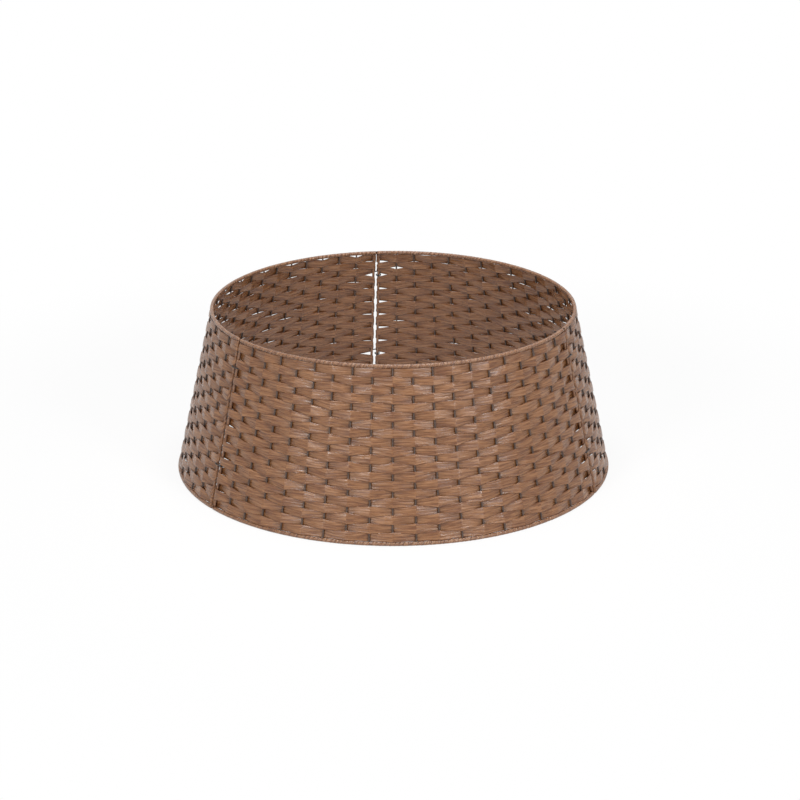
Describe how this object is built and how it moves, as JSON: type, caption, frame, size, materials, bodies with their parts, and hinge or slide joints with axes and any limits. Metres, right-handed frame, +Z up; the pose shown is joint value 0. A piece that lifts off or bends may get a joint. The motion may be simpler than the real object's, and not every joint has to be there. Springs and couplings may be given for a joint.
{
  "type": "tree collar",
  "caption": "Ring of hinged woven panels on wire cages, bound at rims and posts and joined by wire hooks. It stands round the foot of a tree and opens to be fitted.",
  "frame": {"origin": "centre of the ring on the floor, under the middle of its bounding box", "axes": "+Z up the ring's axis, -Y towards the front panel, +X to its right"},
  "size_m": [0.6663, 0.6661, 0.256],
  "materials": {
    "dark_wire": "black coated wire",
    "hook_wire": "black wire",
    "brown_ribbon": "crumpled lengthwise, soft sheen",
    "tan_binding": "wound ribbon, soft sheen"
  },
  "bodies": {
    "front_panel": {"front_frame": "dark_wire", "front_bottom_binding": "tan_binding", "front_top_binding": "tan_binding", "front_start_post_wrap": "tan_binding", "front_end_post_wrap": "tan_binding", "front_top_strip": "brown_ribbon", "front_strip_1": "brown_ribbon", "front_strip_2": "brown_ribbon", "front_strip_3": "brown_ribbon", "front_strip_4": "brown_ribbon", "front_strip_5": "brown_ribbon", "front_strip_6": "brown_ribbon", "front_strip_7": "brown_ribbon", "front_strip_8": "brown_ribbon", "front_strip_9": "brown_ribbon", "front_bottom_strip": "brown_ribbon", "front_upper_hook": "hook_wire", "front_lower_hook": "hook_wire"},
    "left_panel": {"left_frame": "dark_wire", "left_bottom_binding": "tan_binding", "left_top_binding": "tan_binding", "left_start_post_wrap": "tan_binding", "left_end_post_wrap": "tan_binding", "left_top_strip": "brown_ribbon", "left_strip_1": "brown_ribbon", "left_strip_2": "brown_ribbon", "left_strip_3": "brown_ribbon", "left_strip_4": "brown_ribbon", "left_strip_5": "brown_ribbon", "left_strip_6": "brown_ribbon", "left_strip_7": "brown_ribbon", "left_strip_8": "brown_ribbon", "left_strip_9": "brown_ribbon", "left_bottom_strip": "brown_ribbon", "left_upper_hook": "hook_wire", "left_lower_hook": "hook_wire"},
    "right_panel": {"right_frame": "dark_wire", "right_bottom_binding": "tan_binding", "right_top_binding": "tan_binding", "right_start_post_wrap": "tan_binding", "right_end_post_wrap": "tan_binding", "right_top_strip": "brown_ribbon", "right_strip_1": "brown_ribbon", "right_strip_2": "brown_ribbon", "right_strip_3": "brown_ribbon", "right_strip_4": "brown_ribbon", "right_strip_5": "brown_ribbon", "right_strip_6": "brown_ribbon", "right_strip_7": "brown_ribbon", "right_strip_8": "brown_ribbon", "right_strip_9": "brown_ribbon", "right_bottom_strip": "brown_ribbon"},
    "upper_clasp_hook": {"right_upper_hook": "hook_wire"},
    "lower_clasp_hook": {"right_lower_hook": "hook_wire"}
  },
  "joints": [
    {"name": "left_swing", "type": "hinge", "parent": "front_panel", "child": "left_panel", "pos_m": [-0.26757, -0.19315, 0.00277], "axis": [0.1739, 0.1255, 0.9767], "range_deg": [0, 120]},
    {"name": "right_swing", "type": "hinge", "parent": "front_panel", "child": "right_panel", "pos_m": [0.30106, -0.13514, 0.00277], "axis": [0.1957, -0.0878, -0.9767], "range_deg": [0, 120]},
    {"name": "upper_clasp_swivel", "type": "hinge", "parent": "right_panel", "child": "upper_clasp_hook", "pos_m": [-0.02066, 0.28302, 0.21327], "axis": [0.0187, -0.2137, 0.9767], "range_deg": [0, 80]},
    {"name": "lower_clasp_swivel", "type": "hinge", "parent": "right_panel", "child": "lower_clasp_hook", "pos_m": [-0.023, 0.31504, 0.0671], "axis": [0.0187, -0.2137, 0.9767], "range_deg": [0, 80]}
  ]
}
